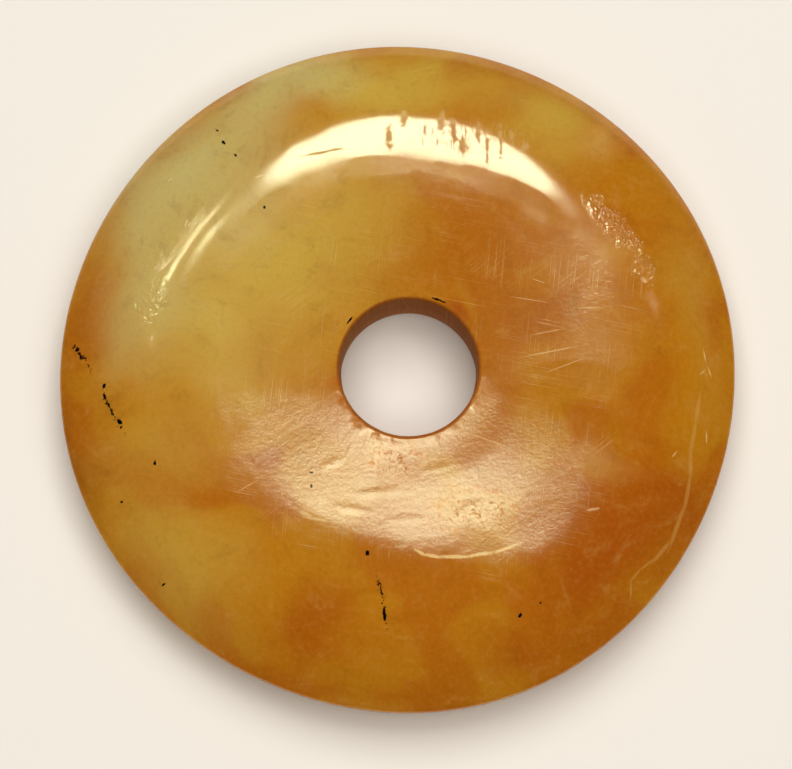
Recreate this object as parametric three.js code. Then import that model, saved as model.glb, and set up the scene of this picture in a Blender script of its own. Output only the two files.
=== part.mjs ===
// A jade bi disc: a small ring of yellow and russet jade, ground by hand and polished, that lies flat.
// Millimetres, +Z up. The origin is under the middle of the disc, on the surface that it lies on.
import * as THREE from "three";

// The ring seen from above
const discDiameter = 55;
const holeDiameter = 11; // at the throat, halfway through the stone
const crestDiameter = 31.4; // middle of the highest ring, on both faces
const crestLandWidth = 2.4; // the flat that the stone rests on

// The ring cut through
const discThickness = 8.6; // at the crest
const rimLandHeight = 1.1; // upright edge of the rim
const dishDepth = 0.95; // how far each face sinks from the crest to the hole
const dishBow = 1.15; // 1 for a straight slope from the hole to the crest, 2 for a bowl
const browFullness = 2.5; // 2 for an even curve from the crest to the rim, more to turn down later

// The hole, drilled from both faces
const holeTaper = 0.12; // extra radius where the wall meets the lip
const lipRadius = 0.42;

// What the hand of the carver left uneven
const holeOffset = { x: 0.8, y: 0.1 };
const outlineSwell = [
  { waves: 2, height: 0.05, peakDegrees: -65 },
  { waves: 3, height: 0.11, peakDegrees: 56 },
  { waves: 4, height: 0.11, peakDegrees: 18 },
];

// Fineness of the facets
const stepsRound = 96;
const lipSteps = 3;
const dishSteps = 5;
const browSteps = 10;

const discRadius = discDiameter / 2;
const throatRadius = holeDiameter / 2;
const halfThickness = discThickness / 2;
const crestInner = (crestDiameter - crestLandWidth) / 2;
const crestOuter = (crestDiameter + crestLandWidth) / 2;

// The lip of the hole: a small round between the tapered wall and the dished face, from the wall up.
function lipCurve() {
  const centreRadius = throatRadius + holeTaper + lipRadius;
  const top = halfThickness - dishDepth;
  const points = [];
  for (let step = 0; step <= lipSteps; step++) {
    const turn = (step / lipSteps) * (Math.PI / 2);
    points.push(
      new THREE.Vector2(
        centreRadius - lipRadius * Math.cos(turn),
        top - lipRadius * (1 - Math.sin(turn)),
      ),
    );
  }
  return points;
}

// The dished face: it climbs from the lip and levels out at the crest.
function dishCurve() {
  const lipEdge = throatRadius + holeTaper + lipRadius;
  const points = [];
  for (let step = 1; step <= dishSteps; step++) {
    const share = step / dishSteps;
    points.push(
      new THREE.Vector2(
        lipEdge + (crestInner - lipEdge) * share,
        halfThickness - dishDepth * (1 - share) ** dishBow,
      ),
    );
  }
  return points;
}

// The brow: it leaves the crest level and falls away ever faster towards the upright rim.
function browCurve() {
  const rimHalf = rimLandHeight / 2;
  const points = [];
  for (let step = 0; step <= browSteps; step++) {
    const share = step / browSteps;
    points.push(
      new THREE.Vector2(
        crestOuter + (discRadius - crestOuter) * share,
        rimHalf + (halfThickness - rimHalf) * (1 - share ** browFullness),
      ),
    );
  }
  return points;
}

// The closed section: from the throat out over the underside to the rim, and back in over the upper face.
function section() {
  const throat = new THREE.Vector2(throatRadius, 0);
  const upper = [...lipCurve(), ...dishCurve(), ...browCurve()];
  const under = upper.map((p) => new THREE.Vector2(p.x, -p.y));
  return [throat, ...under, ...upper.reverse(), throat.clone()];
}

// Moves the hole off the middle and lets the outline swell, as hand grinding did, with every face left level.
function handCut(geometry) {
  const place = geometry.attributes.position;
  for (let i = 0; i < place.count; i++) {
    const x = place.getX(i);
    const y = place.getY(i);
    const radius = Math.hypot(x, y);
    const angle = Math.atan2(y, x);
    const outward = THREE.MathUtils.smoothstep(radius, throatRadius, discRadius);
    const swell = outlineSwell.reduce(
      (sum, { waves, height, peakDegrees }) =>
        sum + height * Math.cos(waves * (angle - THREE.MathUtils.degToRad(peakDegrees))),
      0,
    );
    const stretch = 1 + (swell * outward) / radius;
    place.setX(i, x * stretch + holeOffset.x * (1 - outward));
    place.setY(i, y * stretch + holeOffset.y * (1 - outward));
  }
  return geometry;
}

// Puts the middle of the outline over the origin and the lower crest on the surface.
function laidDown(geometry) {
  geometry.computeBoundingBox();
  const middle = geometry.boundingBox.getCenter(new THREE.Vector3());
  return geometry.translate(-middle.x, -middle.y, -geometry.boundingBox.min.z);
}

function jadeDisc() {
  const ring = new THREE.LatheGeometry(section(), stepsRound);
  ring.rotateX(Math.PI / 2);
  const jade = new THREE.MeshStandardMaterial({ color: 0xc48a34, roughness: 0.28, metalness: 0 });
  const disc = new THREE.Mesh(laidDown(handCut(ring)), jade);
  disc.name = "jade_disc";
  return disc;
}

const biDisc = new THREE.Group();
biDisc.add(jadeDisc());

export default biDisc;
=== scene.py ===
"""Dresses a jade bi disc: the polished stone, its clouds of colour and its wear, on a pale studio floor."""
import math

import bmesh
import bpy
from bpy.props import FloatProperty, FloatVectorProperty, IntProperty, PointerProperty
from mathutils import Matrix, Vector, noise


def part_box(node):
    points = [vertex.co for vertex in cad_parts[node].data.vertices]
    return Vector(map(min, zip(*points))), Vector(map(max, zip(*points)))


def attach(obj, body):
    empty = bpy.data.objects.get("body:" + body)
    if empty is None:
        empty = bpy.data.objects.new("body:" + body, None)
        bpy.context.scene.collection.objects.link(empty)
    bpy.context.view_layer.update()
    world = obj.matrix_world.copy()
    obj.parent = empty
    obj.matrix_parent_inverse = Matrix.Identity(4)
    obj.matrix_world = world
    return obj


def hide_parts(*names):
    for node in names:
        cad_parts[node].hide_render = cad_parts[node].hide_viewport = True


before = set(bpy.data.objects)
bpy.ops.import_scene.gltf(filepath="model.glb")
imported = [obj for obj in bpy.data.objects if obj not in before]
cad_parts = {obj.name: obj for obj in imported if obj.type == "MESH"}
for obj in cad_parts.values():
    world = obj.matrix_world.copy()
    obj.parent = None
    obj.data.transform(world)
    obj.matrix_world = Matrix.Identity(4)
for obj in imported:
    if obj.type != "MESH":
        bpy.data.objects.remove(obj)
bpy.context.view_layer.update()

DISC_LOW, DISC_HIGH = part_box("jade_disc")
MILLIMETRE = 0.001

bl_info = {
    "name": "Jade Bi Disc",
    "version": (1, 0, 0),
    "blender": (4, 5, 0),
    "location": "3D View > Sidebar > Bi Disc",
    "description": "Models a worn jade bi disc and lays it on a pale studio floor",
    "category": "Object",
}


class BiDiscSizes(bpy.types.PropertyGroup):
    """The disc as it was cut."""

    diameter: FloatProperty(
        name="Diameter", description="Across the rim", default=0.055, subtype="DISTANCE", unit="LENGTH"
    )
    thickness: FloatProperty(
        name="Thickness",
        description="From crest to crest",
        default=DISC_HIGH.z - DISC_LOW.z,
        subtype="DISTANCE",
        unit="LENGTH",
    )
    hole_diameter: FloatProperty(
        name="Hole",
        description="Across the throat of the hole",
        default=0.011,
        subtype="DISTANCE",
        unit="LENGTH",
    )
    crest_diameter: FloatProperty(
        name="Crest",
        description="Across the middle of the highest ring",
        default=0.0314,
        subtype="DISTANCE",
        unit="LENGTH",
    )
    crest_land: FloatProperty(
        name="Crest land",
        description="Width of the level ring on the crest",
        default=0.0024,
        subtype="DISTANCE",
        unit="LENGTH",
    )
    rim_land: FloatProperty(
        name="Rim land",
        description="Height of the upright edge of the rim",
        default=0.0011,
        subtype="DISTANCE",
        unit="LENGTH",
    )
    dish_depth: FloatProperty(
        name="Dish",
        description="How far each face sinks from the crest to the hole",
        default=0.00095,
        subtype="DISTANCE",
        unit="LENGTH",
    )
    dish_curve: FloatProperty(
        name="Dish curve",
        description="1 for a straight slope from the hole to the crest, more for a bowl",
        default=1.15,
    )
    brow_fullness: FloatProperty(
        name="Brow fullness",
        description="2 for an even curve from the crest to the rim, more to turn later",
        default=2.5,
    )
    hole_taper: FloatProperty(
        name="Hole taper",
        description="Extra radius where the wall meets the lip",
        default=0.00012,
        subtype="DISTANCE",
        unit="LENGTH",
    )
    lip_radius: FloatProperty(
        name="Lip",
        description="Radius of the round at the mouth of the hole",
        default=0.00042,
        subtype="DISTANCE",
        unit="LENGTH",
    )
    wedges: IntProperty(name="Wedges", description="Equal wedges that the ring is spun in", default=12)
    steps_per_wedge: IntProperty(name="Steps", description="Faces round the ring in each wedge", default=35)


class StoneColours(bpy.types.PropertyGroup):
    """The colours that run through the stone, those of its marks, and those that paint shade and highlights
    on it.
    """

    honey: FloatVectorProperty(
        name="Honey", description="The stone's main colour", default=(0.48, 0.190, 0.004), subtype="COLOR"
    )
    amber: FloatVectorProperty(
        name="Amber", description="Its deeper drifts", default=(0.44, 0.135, 0.002), subtype="COLOR"
    )
    # Russet and umber are also laid on the hole's wall as painted shade
    russet: FloatVectorProperty(
        name="Russet", description="Its reddest drifts", default=(0.37, 0.078, 0.001), subtype="COLOR"
    )
    umber: FloatVectorProperty(
        name="Umber", description="Brown threads and pits", default=(0.20, 0.060, 0.002), subtype="COLOR"
    )
    straw: FloatVectorProperty(
        name="Straw", description="Its yellow drifts", default=(0.56, 0.375, 0.055), subtype="COLOR"
    )
    olive: FloatVectorProperty(
        name="Olive", description="Its pale green drifts", default=(0.55, 0.460, 0.165), subtype="COLOR"
    )
    smoke: FloatVectorProperty(
        name="Smoke", description="Pale wisps in the stone", default=(0.60, 0.330, 0.070), subtype="COLOR"
    )
    # Chalk is the pale tone of real scratches and hairlines, and also of the painted highlight along the
    # crest and of the painted glints
    chalk: FloatVectorProperty(
        name="Chalk", description="Scratches and worn ridges", default=(0.88, 0.640, 0.260), subtype="COLOR"
    )
    black: FloatVectorProperty(
        name="Black", description="Grains in the stone", default=(0.012, 0.012, 0.008), subtype="COLOR"
    )


# What the carver's hand left uneven: how far the hole lies off the middle, and the swells of the outline,
# each as its number of waves, its height and where it peaks
HOLE_OFFSET = (0.8 * MILLIMETRE, 0.1 * MILLIMETRE)
OUTLINE_SWELLS = (
    (2, 0.05 * MILLIMETRE, math.radians(-65)),
    (3, 0.11 * MILLIMETRE, math.radians(56)),
    (4, 0.11 * MILLIMETRE, math.radians(18)),
)

# Where the hole's middle comes to lie once the outline is centred, in mm
HOLE_MIDDLE = (0.9, 0.07)

# Height of the plane that parts the upper face from the underside
MIDDLE_HEIGHT = (DISC_LOW.z + DISC_HIGH.z) / 2


def smooth_share(value, start, end):
    """How far value has come from start to end, from 0 to 1, easing in and out."""
    share = min(1.0, max(0.0, (value - start) / (end - start)))
    return share * share * (3 - 2 * share)


def half_section(sizes, wall_steps, lip_steps, dish_steps, land_steps, brow_steps):
    """The upper half of the cut section, from the throat out to the rim, as radii and heights."""
    throat = sizes.hole_diameter / 2
    half = sizes.thickness / 2
    lip_edge = throat + sizes.hole_taper + sizes.lip_radius
    crest_in = (sizes.crest_diameter - sizes.crest_land) / 2
    crest_out = (sizes.crest_diameter + sizes.crest_land) / 2
    rim_half = sizes.rim_land / 2
    rim = sizes.diameter / 2
    wall_top = half - sizes.dish_depth - sizes.lip_radius
    points = []
    for step in range(wall_steps):
        share = step / wall_steps
        points.append((throat + sizes.hole_taper * share, wall_top * share))
    for step in range(lip_steps + 1):
        turn = step / lip_steps * math.pi / 2
        points.append(
            (lip_edge - sizes.lip_radius * math.cos(turn), wall_top + sizes.lip_radius * math.sin(turn))
        )
    for step in range(1, dish_steps + 1):
        share = step / dish_steps
        sink = sizes.dish_depth * (1 - share) ** sizes.dish_curve
        points.append((lip_edge + (crest_in - lip_edge) * share, half - sink))
    for step in range(1, land_steps):
        points.append((crest_in + (crest_out - crest_in) * step / land_steps, half))
    for step in range(brow_steps + 1):
        share = step / brow_steps
        fall = 1 - share ** sizes.brow_fullness
        points.append((crest_out + (rim - crest_out) * share, rim_half + (half - rim_half) * fall))
    return points


def spun_ring(sizes):
    """The ring as a bmesh: its closed section, drawn once and spun a full turn."""
    upper = half_section(sizes, wall_steps=10, lip_steps=8, dish_steps=44, land_steps=14, brow_steps=84)
    lower = half_section(sizes, wall_steps=6, lip_steps=6, dish_steps=18, land_steps=8, brow_steps=34)
    outline = upper + [(r, -z) for r, z in reversed(lower[1:])]
    bm = bmesh.new()
    corners = [bm.verts.new((r, 0.0, z + MIDDLE_HEIGHT)) for r, z in outline]
    for corner, following in zip(corners, corners[1:] + corners[:1]):
        bm.edges.new((corner, following))
    wedge_angle = 2 * math.pi / sizes.wedges
    bmesh.ops.spin(
        bm,
        geom=bm.verts[:] + bm.edges[:],
        cent=(0, 0, 0),
        axis=(0, 0, 1),
        angle=wedge_angle,
        steps=sizes.steps_per_wedge,
    )
    wedge = bm.verts[:] + bm.edges[:] + bm.faces[:]
    for turn in range(1, sizes.wedges):
        copied = bmesh.ops.duplicate(bm, geom=wedge)["geom"]
        turned = [part for part in copied if isinstance(part, bmesh.types.BMVert)]
        bmesh.ops.rotate(bm, verts=turned, cent=(0, 0, 0), matrix=Matrix.Rotation(turn * wedge_angle, 3, "Z"))
    bmesh.ops.remove_doubles(bm, verts=bm.verts[:], dist=MILLIMETRE / 1000)
    bmesh.ops.recalc_face_normals(bm, faces=bm.faces[:])
    return bm


def cut_by_hand(bm, sizes):
    """Moves the hole off the middle and lets the outline swell, as on the solid."""
    throat, rim = sizes.hole_diameter / 2, sizes.diameter / 2
    for vert in bm.verts:
        radius = math.hypot(vert.co.x, vert.co.y)
        angle = math.atan2(vert.co.y, vert.co.x)
        outward = smooth_share(radius, throat, rim)
        swell = sum(height * math.cos(waves * (angle - peak)) for waves, height, peak in OUTLINE_SWELLS)
        stretch = 1 + swell * outward / radius
        vert.co.x = vert.co.x * stretch + HOLE_OFFSET[0] * (1 - outward)
        vert.co.y = vert.co.y * stretch + HOLE_OFFSET[1] * (1 - outward)
    middle_x = (min(v.co.x for v in bm.verts) + max(v.co.x for v in bm.verts)) / 2
    middle_y = (min(v.co.y for v in bm.verts) + max(v.co.y for v in bm.verts)) / 2
    for vert in bm.verts:
        vert.co.x -= middle_x
        vert.co.y -= middle_y


# Where the upper face is rubbed dull: middle x and y, half length and half width in mm, turn in degrees,
# how dull
WORN_PLACES = (
    (0.5, 0.5, 19.0, 17.5, 0, 0.30),
    (6.6, -9.4, 11.5, 7.4, 4, 0.85),
    (-6.0, -8.4, 9.5, 6.0, -20, 0.60),
    (14.0, 5.0, 9.0, 8.0, -40, 0.30),
)

# Hollows rubbed into the upper face: middle x and y, half length and half width in mm, turn in degrees,
# depth in mm
HOLLOWS = (
    (9.0, -8.8, 11.0, 7.4, 10, 0.210),
    (13.5, -7.5, 9.5, 8.0, 0, 0.190),
    (-6.0, -8.8, 4.5, 3.6, -30, 0.040),
    (-1.5, -10.2, 2.2, 0.45, 6, 0.030),
    (0.6, -12.4, 1.8, 0.40, 4, 0.025),
    (5.6, -11.6, 1.5, 0.60, 30, 0.030),
    (3.2, -8.2, 1.6, 0.35, 14, 0.025),
    (-3.6, -11.6, 1.8, 0.40, -8, 0.025),
    (-5.2, -7.8, 1.3, 0.35, 25, 0.020),
)


def depth_in_oval(place, x, y, long, wide, turn):
    """How far a place lies from the middle of an oval: 0 in the middle, 1 on its edge; in mm and degrees."""
    angle = math.radians(turn)
    along = ((place.x - x) * math.cos(angle) + (place.y - y) * math.sin(angle)) / long
    across = (-(place.x - x) * math.sin(angle) + (place.y - y) * math.cos(angle)) / wide
    return math.hypot(along, across)


def wear_at(place):
    """How dull a place of the upper face is rubbed, from 0 for polished to 1 for worn; place is in mm."""
    ragged_edge = noise.noise(place * 0.25) * 0.22 + noise.noise(place * 0.9) * 0.12
    worn = 0.0
    for x, y, long, wide, turn, dull in WORN_PLACES:
        depth = depth_in_oval(place, x, y, long, wide, turn) + ragged_edge
        worn += dull * (1 - smooth_share(depth, 0.62, 1.12))
    return min(1.0, worn)


def soften_crest(bm, sizes):
    """Rounds the corner between dish and crest; below the hole, wear has left it nearly sharp."""
    crest_in = (sizes.crest_diameter - sizes.crest_land) / 2
    mean_slope = sizes.dish_depth / (crest_in - sizes.hole_diameter / 2)
    slope_at_crest = mean_slope * 0.8
    wide_round, narrow_round = 2.4 * MILLIMETRE, 0.7 * MILLIMETRE
    for vert in bm.verts:
        side = 1 if vert.co.z > MIDDLE_HEIGHT else -1
        radius = math.hypot(vert.co.x, vert.co.y)
        away = abs(radius - crest_in)
        below = smooth_share(-vert.co.y / radius, 0.45, 0.85)
        reach = wide_round + (narrow_round - wide_round) * below
        if away < reach:
            vert.co.z -= side * slope_at_crest * (reach - away) ** 2 / (4 * reach)


def relief_at(place):
    """How far hand and wear moved a place of the upper face up or down, in mm; place is in mm."""
    broad_waves = noise.noise(place * 0.11 + Vector((5, 2, 0))) * 0.035
    ripples = noise.noise(place * 0.42) * 0.008
    height = broad_waves + ripples
    for x, y, long, wide, turn, depth in HOLLOWS:
        height -= depth * max(0.0, 1 - depth_in_oval(place, x, y, long, wide, turn) ** 2)
    return height


def chip_at(place):
    """How far the edge of the hole is chipped away, in mm: the lower side has lost the most."""
    low_side = 1 - smooth_share(place.y, -4.5, 1.0)
    bites = max(0.0, noise.noise(place * 0.8 + Vector((0, 0, 9))) + 0.2) * 0.12
    nicks = max(0.0, noise.noise(place * 2.2)) * 0.04
    return (bites + nicks) * (0.25 + 0.75 * low_side)


def wear_down(bm):
    """Gives the upper face its relief and the edge of the hole its chips."""
    for vert in bm.verts:
        if vert.co.z < MIDDLE_HEIGHT:
            continue
        place = vert.co / MILLIMETRE
        radius = math.hypot(place.x, place.y)
        from_hole = math.hypot(place.x - HOLE_MIDDLE[0], place.y - HOLE_MIDDLE[1])
        clear_of_lip = smooth_share(from_hole, 6.0, 10.0)
        clear_of_rim = 1 - smooth_share(radius, 24.0, 27.0)
        room_above = (DISC_HIGH.z - vert.co.z) / MILLIMETRE
        vert.co.z += min(relief_at(place) * clear_of_lip * clear_of_rim, room_above) * MILLIMETRE
        on_lip = smooth_share(place.z, 6.6, 7.1) * (1 - smooth_share(from_hole, 5.9, 6.6))
        vert.co.z -= chip_at(place) * on_lip * MILLIMETRE


# Drifts of colour: tone, middle x and y, half length and half width in mm, turn in degrees, strength
CLOUDS = (
    ("straw", -9.0, 10.0, 18.0, 13.0, 40, 0.95),
    ("straw", -15.5, 2.5, 9.0, 8.5, 0, 0.85),
    ("straw", -1.5, 24.0, 13.0, 5.2, 0, 1.0),
    ("straw", 12.0, 20.5, 8.0, 5.0, -30, 0.90),
    ("olive", -17.0, 15.0, 14.0, 9.0, 40, 1.0),
    ("olive", -11.5, 22.0, 7.5, 4.6, 30, 0.85),
    ("olive", -20.0, 6.0, 6.5, 10.0, 0, 0.7),
    ("olive", -7.0, 24.0, 8.5, 3.8, 15, 0.75),
    ("amber", 14.0, 9.0, 17.0, 15.0, -30, 0.75),
    ("honey", 22.0, 6.0, 5.0, 13.0, 10, 0.80),
    ("straw", 24.5, 6.0, 3.6, 12.0, 10, 0.30),
    ("amber", 2.0, 8.0, 7.0, 4.0, 20, 0.7),
    ("russet", 17.0, -14.0, 13.0, 8.0, 50, 0.95),
    ("russet", 22.0, -11.0, 5.0, 7.0, 20, 0.7),
    ("russet", 11.0, 5.0, 5.0, 3.0, 0, 0.6),
    ("russet", -6.0, -20.0, 4.5, 6.0, -10, 0.8),
    ("russet", 9.0, -23.0, 4.5, 3.0, 20, 0.6),
    ("amber", -2.0, -22.0, 14.0, 5.0, 0, 0.5),
    ("straw", -17.5, -15.5, 10.5, 6.0, -45, 0.60),
    ("straw", -18.5, -6.5, 8.5, 5.5, 0, 0.45),
    ("umber", -25.5, -6.0, 2.6, 9.0, 10, 0.30),
    ("amber", -24.4, -3.6, 2.0, 3.4, 0, 1.0),
    ("amber", -15.8, -10.4, 4.2, 1.7, 10, 0.9),
    ("russet", -10.6, -6.6, 2.4, 1.2, 20, 0.7),
    ("smoke", 16.6, 20.0, 3.2, 2.4, -40, 0.8),
    ("smoke", 17.6, 9.2, 3.6, 3.0, -40, 0.55),
    ("smoke", 17.0, -7.0, 3.6, 3.0, 0, 0.40),
    ("russet", 4.8, 25.0, 2.2, 1.2, 0, 0.4),
    ("russet", 4.6, 5.6, 1.6, 0.8, -40, 1.0),
)


def body_colour(place, tones):
    """The stone's colour at a place in mm: honey and amber, with clouds of the other tones over them."""
    flow = noise.noise(place / 6.5) + noise.noise(place / 3.1) * 0.5
    colour = tones["honey"].lerp(tones["amber"], smooth_share(flow, -0.25, 0.25))
    for tone, x, y, long, wide, turn, strength in CLOUDS:
        reach = max(long, wide)
        if abs(place.x - x) < reach and abs(place.y - y) < reach:
            depth = depth_in_oval(place, x, y, long, wide, turn)
            colour = colour.lerp(tones[tone], strength * (1 - smooth_share(depth, 0, 1)))
    return colour


# How dull the underside is, evenly
UNDERSIDE_WEAR = 0.25

# Unseeded, Blender's noise_vector starts from the clock and drifts the colours another way in each run
DRIFT_SEED = 185


def record_surface(mesh, tones):
    """Stores on each corner how worn it is, how far the colours drift there and its body colour."""
    noise.seed_set(DRIFT_SEED)
    wear, drift, stone = [], [], []
    for vert in mesh.vertices:
        place = vert.co / MILLIMETRE
        upper = smooth_share(place.z, 3.8, 4.8)
        wear.append(wear_at(place) * upper + UNDERSIDE_WEAR * (1 - upper))
        broad = noise.noise_vector(place * 0.12) * 3.0
        drifted = place + broad + noise.noise_vector((place + broad) * 0.4) * 0.8
        drift.extend(drifted)
        stone.extend((*body_colour(drifted, tones), 1))
    mesh.attributes.new("wear", "FLOAT", "POINT").data.foreach_set("value", wear)
    mesh.attributes.new("drift", "FLOAT_VECTOR", "POINT").data.foreach_set("vector", drift)
    mesh.attributes.new("stone", "FLOAT_COLOR", "POINT").data.foreach_set("color", stone)


class Shade:
    """A shader socket that can be used in sums: each operator adds its Math node."""

    def __init__(self, board, socket):
        self.board = board
        self.socket = socket

    def maths(self, operation, *values):
        return self.board.node("ShaderNodeMath", {"operation": operation}, dict(enumerate(values)))

    def __add__(self, other):
        return self.maths("ADD", self, other)

    def __radd__(self, other):
        return self.maths("ADD", other, self)

    def __sub__(self, other):
        return self.maths("SUBTRACT", self, other)

    def __rsub__(self, other):
        return self.maths("SUBTRACT", other, self)

    def __mul__(self, other):
        return self.maths("MULTIPLY", self, other)

    def __rmul__(self, other):
        return self.maths("MULTIPLY", other, self)

    def or_more(self, other):
        return self.maths("MAXIMUM", self, other)

    def or_less(self, other):
        return self.maths("MINIMUM", self, other)


class Board:
    """One material's node tree."""

    def __init__(self, name):
        self.material = bpy.data.materials.new(name)
        self.material.use_nodes = True
        self.tree = self.material.node_tree
        self.tree.nodes.clear()
        self.turned_points = {}

    def node(self, kind, settings=None, inputs=None, output=0):
        """Adds a node: its settings first, then the values or links of its sockets. Gives back one output."""
        made = self.tree.nodes.new(kind)
        for name, value in (settings or {}).items():
            setattr(made, name, value)
        for name, value in (inputs or {}).items():
            if isinstance(value, Shade):
                self.tree.links.new(value.socket, made.inputs[name])
            else:
                made.inputs[name].default_value = value
        return Shade(self, made.outputs[output]) if len(made.outputs) else None

    def millimetres(self):
        """The point on the piece, in millimetres."""
        place = self.node("ShaderNodeTexCoord", output="Object")
        return self.node("ShaderNodeVectorMath", {"operation": "SCALE"}, {0: place, "Scale": 1 / MILLIMETRE})

    def noise(self, point, size, detail=2.0, roughness=0.5, dimensions="3D"):
        """Cloudy noise whose lumps are about size millimetres across."""
        return self.node(
            "ShaderNodeTexNoise",
            {"noise_dimensions": dimensions},
            {"Vector": point, "Scale": 1 / size, "Detail": detail, "Roughness": roughness},
        )

    def ramp(self, value, start, end, low=0.0, high=1.0, kind="SMOOTHSTEP"):
        """Takes value from start to end over to low to high, and holds it there beyond."""
        return self.node(
            "ShaderNodeMapRange",
            {"interpolation_type": kind},
            {"Value": value, "From Min": start, "From Max": end, "To Min": low, "To Max": high},
        )

    def turned(self, point, turn):
        """The point as seen from axes turned by so many degrees; made once for each turn."""
        if turn == 0:
            return point
        key = (point.socket.node.name, turn)
        if key not in self.turned_points:
            self.turned_points[key] = self.node(
                "ShaderNodeVectorRotate",
                {"rotation_type": "Z_AXIS"},
                {"Vector": point, "Angle": -math.radians(turn)},
            )
        return self.turned_points[key]

    def depth_in(self, point, x, y, long, wide, turn=0.0):
        """How deep the point lies in an oval that runs through the stone: 0 in the middle, 1 on its edge."""
        turn = round(turn / 10) * 10
        angle = math.radians(turn)
        along = x * math.cos(angle) + y * math.sin(angle)
        across = y * math.cos(angle) - x * math.sin(angle)
        local = self.node(
            "ShaderNodeVectorMath",
            {"operation": "MULTIPLY_ADD"},
            {0: self.turned(point, turn), 1: (1 / long, 1 / wide, 0), 2: (-along / long, -across / wide, 0)},
        )
        return self.node("ShaderNodeVectorMath", {"operation": "LENGTH"}, {0: local}, "Value")

    def mixed(self, share, first, tone):
        """Colours: first where share is 0, the tone where it is 1."""
        return self.node("ShaderNodeMix", {"data_type": "RGBA"}, {0: share, 6: first, 7: (*tone, 1)}, 2)


def nearest(board, point, ovals):
    """How deep a point lies in the nearest of the ovals: 0 in its middle, 1 on its edge."""
    nearest_one = None
    for x, y, long, wide, turn in ovals:
        depth = board.depth_in(point, x, y, long, wide, turn)
        nearest_one = depth if nearest_one is None else nearest_one.or_less(depth)
    return nearest_one


def stone_colours(board, drift, tones):
    """The body colour that the corners hold, with smoky curds and umber threads in it."""
    stone = board.node("ShaderNodeAttribute", {"attribute_name": "stone"}, output="Color")
    curd = board.noise(drift, 1.9, 4.0, 0.74)
    colour = board.mixed(board.ramp(curd, 0.50, 0.80, 0.0, 0.34), stone, tones["smoke"])
    return board.mixed(board.ramp(curd, 0.50, 0.22, 0.0, 0.26), colour, tones["umber"])


# Black grains in the stone: x, y, half length and half width in mm, turn in degrees
GRAINS = (
    (-26.1, 1.8, 0.22, 0.14, 20),
    (-23.7, -1.4, 0.24, 0.16, 60),
    (-22.4, -4.4, 0.30, 0.20, -40),
    (-19.5, -7.8, 0.16, 0.22, 0),
    (-22.2, -10.8, 0.12, 0.10, 0),
    (-14.8, 20.0, 0.20, 0.10, -40),
    (-14.2, 18.8, 0.30, 0.12, -50),
    (-13.2, 17.6, 0.16, 0.10, -40),
    (-10.8, 13.1, 0.12, 0.18, 20),
    (-18.8, -17.4, 0.20, 0.08, 30),
    (-6.9, -8.6, 0.18, 0.12, 0),
    (-6.9, -9.7, 0.14, 0.20, 0),
    (-2.4, -15.2, 0.16, 0.24, 0),
    (-1.05, -20.1, 0.18, 0.50, 12),
    (9.8, -20.1, 0.26, 0.16, 35),
    (11.4, -19.1, 0.10, 0.10, 0),
    (3.4, 5.60, 0.70, 0.10, -20),
    (-3.9, 3.9, 0.10, 0.45, -40),
)

# Grains strung close together: the places that each string runs through, in mm
GRAIN_CHAINS = (
    ((-26.2, 2.0), (-25.3, 0.8), (-24.7, 0.0)),
    ((-23.8, -1.8), (-23.3, -3.2), (-22.3, -4.7)),
    ((-1.5, -17.0), (-1.2, -18.8), (-0.9, -20.6)),
)

# Scratches, and pale strokes that paint glints where the light catches the crest below the hole, the
# upper-left brow and the right rim: x and y of the middle, half length and half width in mm, turn in degrees
SCRATCHES_AND_GLINTS = (
    (10.6, 5.55, 2.1, 0.05, -14),
    (15.5, 4.8, 1.3, 0.07, -4),
    (12.0, 2.85, 1.8, 0.05, 8),
    (12.3, 1.25, 3.0, 0.07, 7),
    (13.5, 0.1, 2.4, 0.05, 16),
    (11.4, 7.05, 0.8, 0.05, -20),
    (7.3, -5.9, 3.3, 0.07, -25),
    (12.1, -6.4, 1.1, 0.05, 30),
    (-12.1, -9.8, 1.3, 0.05, 28),
    (-9.5, -6.6, 1.6, 0.05, 38),
    (15.6, -11.6, 0.7, 0.16, 12),
    (24.9, 1.2, 0.10, 0.8, 8),
    (25.3, -0.1, 0.09, 0.6, 20),
    (24.7, -0.2, 0.45, 0.07, 35),
    (25.0, -5.4, 0.10, 0.7, 4),
    (22.3, -7.0, 0.5, 0.08, 50),
    (-11.3, 15.7, 0.5, 0.10, 20),
    (-18.6, 15.8, 0.4, 0.09, 40),
    (0.5, -14.6, 0.5, 0.18, 10),
    (-6.6, -12.4, 1.4, 0.14, -14),
    (-7.4, -12.0, 0.7, 0.22, -20),
)

# The painted highlight along the worn crest below the hole, and the fissure near the rim: the places that
# each runs through, in mm
RIDGE_HIGHLIGHT = ((1.4, -14.9), (2.2, -15.3), (3.4, -15.5), (5.6, -15.4), (7.6, -15.1), (9.6, -14.5))
FISSURE = (
    (24.4, -2.2),
    (24.1, -4.4),
    (23.7, -6.5),
    (23.6, -8.7),
    (23.2, -11.2),
    (21.9, -14.1),
    (20.6, -15.4),
)
FISSURE_END = ((20.6, -15.4), (19.5, -16.2), (18.7, -17.2), (18.8, -18.4))

# How much longer an oval is than its step of the line, so that it runs into the next one
STROKE_OVERLAP = 1.5


def strokes(places, half_width):
    """The ovals that together draw a line through the places."""
    ovals = []
    for (x0, y0), (x1, y1) in zip(places, places[1:]):
        half_length = math.hypot(x1 - x0, y1 - y0) / 2 * STROKE_OVERLAP
        turn = math.degrees(math.atan2(y1 - y0, x1 - x0))
        ovals.append(((x0 + x1) / 2, (y0 + y1) / 2, half_length, half_width, turn))
    return ovals


# Patches where the satin is pitted: x, y, half length and half width in mm, turn in degrees
PITTED = (
    (6.3, -11.8, 4.4, 2.7, 0),
    (0.0, -7.6, 3.0, 1.6, 0),
)

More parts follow.
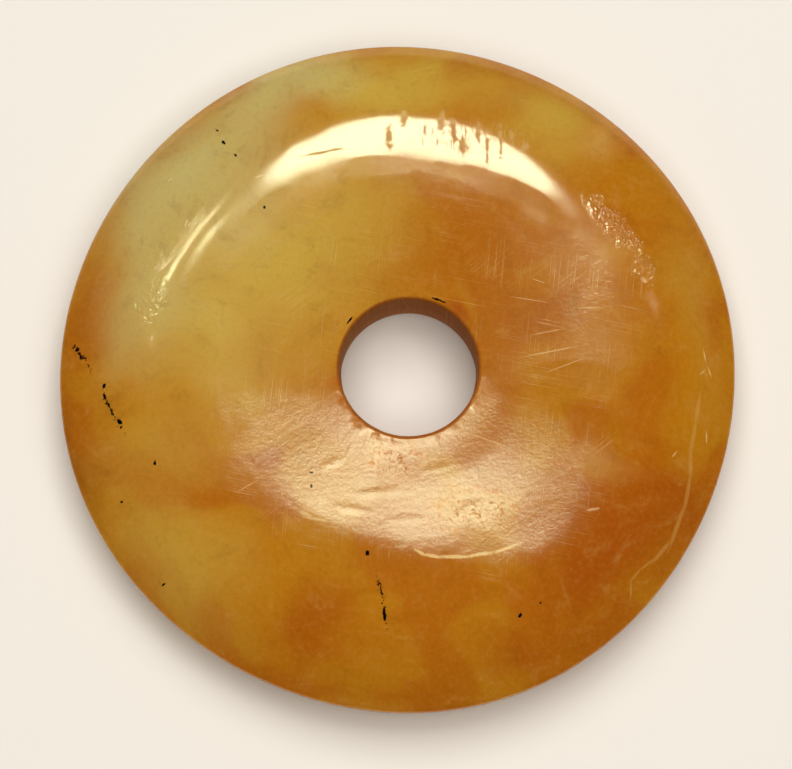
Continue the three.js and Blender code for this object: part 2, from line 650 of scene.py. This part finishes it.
# Hairlines: direction in degrees, length and width of a line in mm, threshold, and the patches that hold them
HAIRLINES = (
    (84, 6.0, 0.055, 0.79, 0.42, 0.56),
    (-12, 7.0, 0.055, 0.78, 0.58, 0.44),
    (38, 6.5, 0.055, 0.79, 0.50, 0.66),
)

# From no scratch to a full one, in the brightness of the noise that draws it
HAIRLINE_EDGE = 0.05

# Scars that the polish never reached: x, y, half length and half width in mm, turn in degrees
SCARS = (
    (-0.7, 18.9, 0.30, 1.1, 0),
    (0.5, 20.6, 0.28, 0.8, 0),
    (3.6, 20.3, 0.30, 0.9, 0),
    (4.6, 19.4, 0.30, 1.2, 10),
    (5.4, 18.3, 0.42, 0.9, -10),
    (6.6, 19.6, 0.20, 1.0, 0),
    (7.3, 18.2, 0.16, 1.4, 0),
    (8.4, 18.8, 0.16, 1.6, 0),
    (9.3, 19.2, 0.20, 0.5, 0),
    (10.4, 18.2, 0.30, 0.4, -30),
    (2.2, 19.6, 0.14, 0.5, 0),
    (-6.6, 17.6, 1.3, 0.12, 10),
    (-5.2, 17.9, 0.9, 0.10, 10),
)

# Everything nearer the hole's middle than this is its wall, in mm
WALL_REACH = 5.9

# Where the gloss is crazed, so that lights break up on it: x, y, half length and half width in mm, turn in
# degrees
CRAZED = (
    (-18.9, 10.0, 6.0, 1.3, 53),
    (-20.4, 5.4, 3.4, 2.0, 80),
    (18.4, 11.0, 6.0, 1.6, -50),
    (20.4, 8.0, 2.2, 2.0, -60),
)


def hairlines(board, point):
    """Fine scratches in three directions, each in its own patches, as one mask."""
    patches = board.noise(point, 5.0, 1.0, 0.5, "2D")
    marks = None
    for turn, long, wide, threshold, none, full in HAIRLINES:
        along = board.node(
            "ShaderNodeVectorMath",
            {"operation": "MULTIPLY"},
            {0: board.turned(point, turn), 1: (1 / long, 1 / wide, 0)},
        )
        streaks = board.noise(along, 1.0, 0.0, 0.5, "2D")
        lines = board.ramp(streaks, threshold, threshold + HAIRLINE_EDGE, kind="LINEAR")
        lines = lines * board.ramp(patches, none, full)
        marks = lines if marks is None else marks.or_more(lines)
    return marks


def jade_material(tones):
    """The stone: its colours, the marks on it, painted shade on the hole's wall, a painted highlight and
    glints in chalk, and its finish from a high polish to satin.
    """
    board = Board("polished jade")
    point = board.millimetres()
    wear = board.node("ShaderNodeAttribute", {"attribute_name": "wear"}, output="Fac")
    drift = board.node("ShaderNodeAttribute", {"attribute_name": "drift"}, output="Vector")
    colour = stone_colours(board, drift, tones)

    # Marks and the masks of painted light and shade, each from 0 to 1; grain makes their edges ragged
    fine = board.noise(point, 0.85, 2.0, 0.75, "2D")
    grain = board.noise(point, 0.45, 3.0, 0.8, "2D")
    ragged = (grain - 0.5) * 2.0
    hair = hairlines(board, point) * board.ramp(wear, 0.02, 0.35, 0.0, 0.6)
    crazed = board.ramp(nearest(board, point, CRAZED), 1.0, 0.4)
    # Real scratches and hairlines, together with the painted glints from the same table
    marks = hair.or_more(board.ramp(nearest(board, point, SCRATCHES_AND_GLINTS) + ragged * 0.5, 1.0, 0.35))
    # Painted highlight: a pale chalk line along the worn crest below the hole, where the light catches it
    ridge_highlight = board.ramp(nearest(board, point, strokes(RIDGE_HIGHLIGHT, 0.17)) + ragged * 0.6, 1.1, 0.5)
    fissure = board.ramp(nearest(board, point, strokes(FISSURE, 0.20)) + ragged * 0.5, 1.1, 0.5)
    fissure_end = board.ramp(nearest(board, point, strokes(FISSURE_END, 0.11)) + ragged * 0.4, 1.1, 0.4)
    fissure = fissure.or_more(fissure_end)
    pit = board.ramp(grain, 0.43, 0.37) * board.ramp(nearest(board, point, PITTED), 1.1, 0.3)
    scar = board.ramp(nearest(board, point, SCARS) + ragged * 1.6, 1.2, 0.5)
    upright = board.node("ShaderNodeVectorMath", {"operation": "MULTIPLY"}, {0: point, 1: (1 / 0.13, 1, 0)})
    drips = board.ramp(board.noise(upright, 1.0, 1.0, 0.6, "2D"), 0.62, 0.68)
    scar = scar.or_more(drips * board.ramp(board.depth_in(point, 6.4, 18.9, 6.4, 1.8), 1.0, 0.5))
    chains = [oval for chain in GRAIN_CHAINS for oval in strokes(chain, 0.24)]
    black = board.ramp(nearest(board, point, chains) + ragged * 3.0, 0.35, 0.15)
    black = black.or_more(board.ramp(nearest(board, point, GRAINS) + ragged * 0.8, 1.0, 0.6))
    wall = board.ramp(board.depth_in(point, *HOLE_MIDDLE, WALL_REACH, WALL_REACH), 1.0, 0.98)

    # Colours, from the stone up to the marks on it, with painted shade on the hole's wall and a painted
    # highlight and glints in chalk
    # Painted shade: the hole's wall is coloured redder and darker, standing for the shade that falls inside
    # the hole
    colour = board.mixed(wall * 0.8, colour, tones["russet"])
    colour = board.mixed(wall * 0.35, colour, tones["umber"])
    colour = board.mixed(board.ramp(grain, 0.50, 0.90, 0.0, 0.22, "LINEAR"), colour, tones["smoke"])
    colour = board.mixed(board.ramp(grain, 0.50, 0.10, 0.0, 0.20, "LINEAR"), colour, tones["umber"])
    colour = board.mixed(fissure * 0.42, colour, tones["smoke"])
    # Chalk: real scratches and hairlines, plus the painted crest highlight and painted glints
    colour = board.mixed((marks * 0.35).or_more(ridge_highlight * 0.7), colour, tones["chalk"])
    colour = board.mixed(pit * 0.5, colour, tones["umber"])
    colour = board.mixed(black, colour, tones["black"])

    # Finish: grains and the darkest pits are metallic only to stay dark inside a highlight
    polish = board.ramp(wear, 0.0, 1.0, 0.10, 0.26, "LINEAR")
    roughness = polish + marks * 0.2 + pit * 0.3 + scar * 0.4 + wall * 0.7
    height = grain * wear * 0.020 + fine * (wear * 0.008 + crazed * 0.090 + 0.0020)
    bump = board.node("ShaderNodeBump", {}, {"Strength": 1.0, "Distance": MILLIMETRE, "Height": height})
    surface = board.node(
        "ShaderNodeBsdfPrincipled",
        {},
        {
            "Base Color": colour,
            "Roughness": roughness,
            "Metallic": (black * 0.9).or_more(pit * 0.5),
            "IOR": 1.61,
            "Specular Tint": (0.95, 0.98, 0.60, 1),
            "Normal": bump,
            "Subsurface Weight": 0.6,
            "Subsurface Radius": (1.0, 0.45, 0.12),
            "Subsurface Scale": 0.0016,
        },
    )
    board.node("ShaderNodeOutputMaterial", {}, {"Surface": surface})
    return board.material


class OBJECT_OT_jade_disc(bpy.types.Operator):
    """Model the polished ring of jade"""

    bl_idname = "object.jade_disc"
    bl_label = "Jade Disc"
    bl_options = {"REGISTER", "UNDO"}

    def execute(self, context):
        sizes = context.scene.bi_disc_sizes
        bm = spun_ring(sizes)
        soften_crest(bm, sizes)
        cut_by_hand(bm, sizes)
        wear_down(bm)
        mesh = bpy.data.meshes.new("polished_disc")
        bm.to_mesh(mesh)
        bm.free()
        mesh.shade_smooth()
        colours = context.scene.bi_disc_colours
        tones = {name: Vector(getattr(colours, name)) for name in StoneColours.__annotations__}
        record_surface(mesh, tones)
        disc = bpy.data.objects.new("polished_disc", mesh)
        context.scene.collection.objects.link(disc)
        disc.data.materials.append(jade_material(tones))
        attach(disc, "root")
        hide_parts("jade_disc")
        return {"FINISHED"}


class StudioSettings(bpy.types.PropertyGroup):
    """The studio round the disc."""

    camera_elevation: FloatProperty(
        name="Elevation", description="Camera above the horizon", default=math.radians(80), subtype="ANGLE"
    )
    camera_distance: FloatProperty(
        name="Distance", description="Camera to the disc", default=0.30, subtype="DISTANCE", unit="LENGTH"
    )
    camera_lens: FloatProperty(name="Lens", description="Focal length in millimetres", default=167.0)
    camera_aim: FloatVectorProperty(
        name="Aim",
        description="Point that the camera looks at",
        default=(-0.00012, -0.00074, 0.0043),
        unit="LENGTH",
    )
    floor_colour: FloatVectorProperty(
        name="Floor", description="Colour of the floor", default=(0.85, 0.82, 0.76), subtype="COLOR"
    )
    room_colour: FloatVectorProperty(
        name="Room",
        description="Colour of the light from all round",
        default=(1, 0.88, 0.70),
        subtype="COLOR",
    )
    room_light: FloatProperty(
        name="Room light", description="Strength of the light from all round", default=0.10
    )


# The camera's sensor in mm and half the floor's width in m
SENSOR_WIDTH = 36
FLOOR_HALF_WIDTH = 1.5

WARM_LIGHT = (1, 0.97, 0.93)
COOL_LIGHT = (0.93, 0.92, 1.0)

# Lamps: name, shape, direction x and y (of length 1 with the height), distance in m, size in m, twist in
# degrees, watts, colour, and whether they light surfaces and mirror in them
LAMPS = (
    ("key softbox", "ELLIPSE", (0.02, 0.45), 0.6, (0.21, 0.22), 0, 2.35, COOL_LIGHT, False, True),
    ("broad softbox", "RECTANGLE", (-0.02, 0.42), 0.8, (0.60, 0.50), 0, 3.8, WARM_LIGHT, True, False),
    ("fill panel", "RECTANGLE", (0.12, -0.18), 0.9, (0.90, 0.70), 0, 5.2, WARM_LIGHT, True, False),
    ("low window", "ELLIPSE", (-0.20, 0.30), 0.6, (0.032, 0.024), 0, 0.04, WARM_LIGHT, False, True),
    ("left strip", "RECTANGLE", (-0.32, 0.325), 0.6, (0.120, 0.009), 8, 0.12, WARM_LIGHT, False, True),
    ("right strip", "RECTANGLE", (0.45, 0.42), 0.6, (0.140, 0.009), -20, 0.16, WARM_LIGHT, False, True),
)


def area_light(name, shape, place, aim, size, twist, power, colour):
    """Hangs a lamp at a place so that it faces the aim."""
    light = bpy.data.lights.new(name, "AREA")
    light.shape = shape
    light.size, light.size_y = size
    light.energy = power
    light.color = colour
    lamp = bpy.data.objects.new(name, light)
    lamp.location = place
    facing = (Vector(aim) - Vector(place)).to_track_quat("-Z", "Y").to_matrix()
    lamp.rotation_euler = (facing @ Matrix.Rotation(math.radians(twist), 3, "Z")).to_euler()
    bpy.context.scene.collection.objects.link(lamp)
    return lamp


class OBJECT_OT_studio_stage(bpy.types.Operator):
    """Lay the floor, hang the lights and set up the camera"""

    bl_idname = "object.studio_stage"
    bl_label = "Studio Stage"
    bl_options = {"REGISTER", "UNDO"}

    def execute(self, context):
        studio = context.scene.bi_disc_studio
        floor_mesh = bpy.data.meshes.new("studio_floor")
        bm = bmesh.new()
        bmesh.ops.create_grid(bm, x_segments=1, y_segments=1, size=FLOOR_HALF_WIDTH)
        bm.to_mesh(floor_mesh)
        bm.free()
        floor = bpy.data.objects.new("studio_floor", floor_mesh)
        context.scene.collection.objects.link(floor)
        board = Board("pale floor")
        pale = (*studio.floor_colour, 1)
        finish = board.node("ShaderNodeBsdfPrincipled", {}, {"Base Color": pale, "Roughness": 0.9})
        board.node("ShaderNodeOutputMaterial", {}, {"Surface": finish})
        floor.data.materials.append(board.material)

        world = bpy.data.worlds.new("studio light")
        world.use_nodes = True
        background = world.node_tree.nodes["Background"]
        background.inputs["Color"].default_value = (*studio.room_colour, 1)
        background.inputs["Strength"].default_value = studio.room_light
        context.scene.world = world

        centre = Vector((0, 0, MIDDLE_HEIGHT))
        for name, shape, toward, reach, size, twist, power, colour, lights, mirrors in LAMPS:
            rise = math.sqrt(1 - toward[0] ** 2 - toward[1] ** 2)
            place = centre + reach * Vector((toward[0], toward[1], rise))
            lamp = area_light(name, shape, place, centre, size, twist, power, colour)
            lamp.visible_diffuse = lights
            lamp.visible_glossy = mirrors

        camera = bpy.data.cameras.new("camera")
        camera.lens = studio.camera_lens
        camera.sensor_width = SENSOR_WIDTH
        holder = bpy.data.objects.new("camera", camera)
        back = Vector((0, -math.cos(studio.camera_elevation), math.sin(studio.camera_elevation)))
        holder.location = Vector(studio.camera_aim) + back * studio.camera_distance
        holder.rotation_euler = (-back).to_track_quat("-Z", "Y").to_euler()
        context.scene.collection.objects.link(holder)
        context.scene.camera = holder
        context.scene.view_settings.view_transform = "Standard"
        return {"FINISHED"}


class VIEW3D_PT_bi_disc(bpy.types.Panel):
    """Lists the disc's pieces"""

    bl_idname = "VIEW3D_PT_bi_disc"
    bl_label = "Bi Disc"
    bl_space_type = "VIEW_3D"
    bl_region_type = "UI"
    bl_category = "Bi Disc"

    def draw(self, context):
        """Shows every size, colour and setting, and a button for each piece."""
        stage = context.scene
        for settings in (stage.bi_disc_sizes, stage.bi_disc_colours, stage.bi_disc_studio):
            box = self.layout.box()
            for name in type(settings).__annotations__:
                box.prop(settings, name)
        self.layout.operator(OBJECT_OT_jade_disc.bl_idname)
        self.layout.operator(OBJECT_OT_studio_stage.bl_idname)


CLASSES = (
    BiDiscSizes,
    StoneColours,
    StudioSettings,
    OBJECT_OT_jade_disc,
    OBJECT_OT_studio_stage,
    VIEW3D_PT_bi_disc,
)


def register():
    for made in CLASSES:
        bpy.utils.register_class(made)
    bpy.types.Scene.bi_disc_sizes = PointerProperty(type=BiDiscSizes)
    bpy.types.Scene.bi_disc_colours = PointerProperty(type=StoneColours)
    bpy.types.Scene.bi_disc_studio = PointerProperty(type=StudioSettings)


def unregister():
    del bpy.types.Scene.bi_disc_studio
    del bpy.types.Scene.bi_disc_colours
    del bpy.types.Scene.bi_disc_sizes
    for made in reversed(CLASSES):
        bpy.utils.unregister_class(made)


def main():
    register()
    bpy.ops.object.studio_stage()
    bpy.ops.object.jade_disc()


if __name__ == "__main__":
    main()
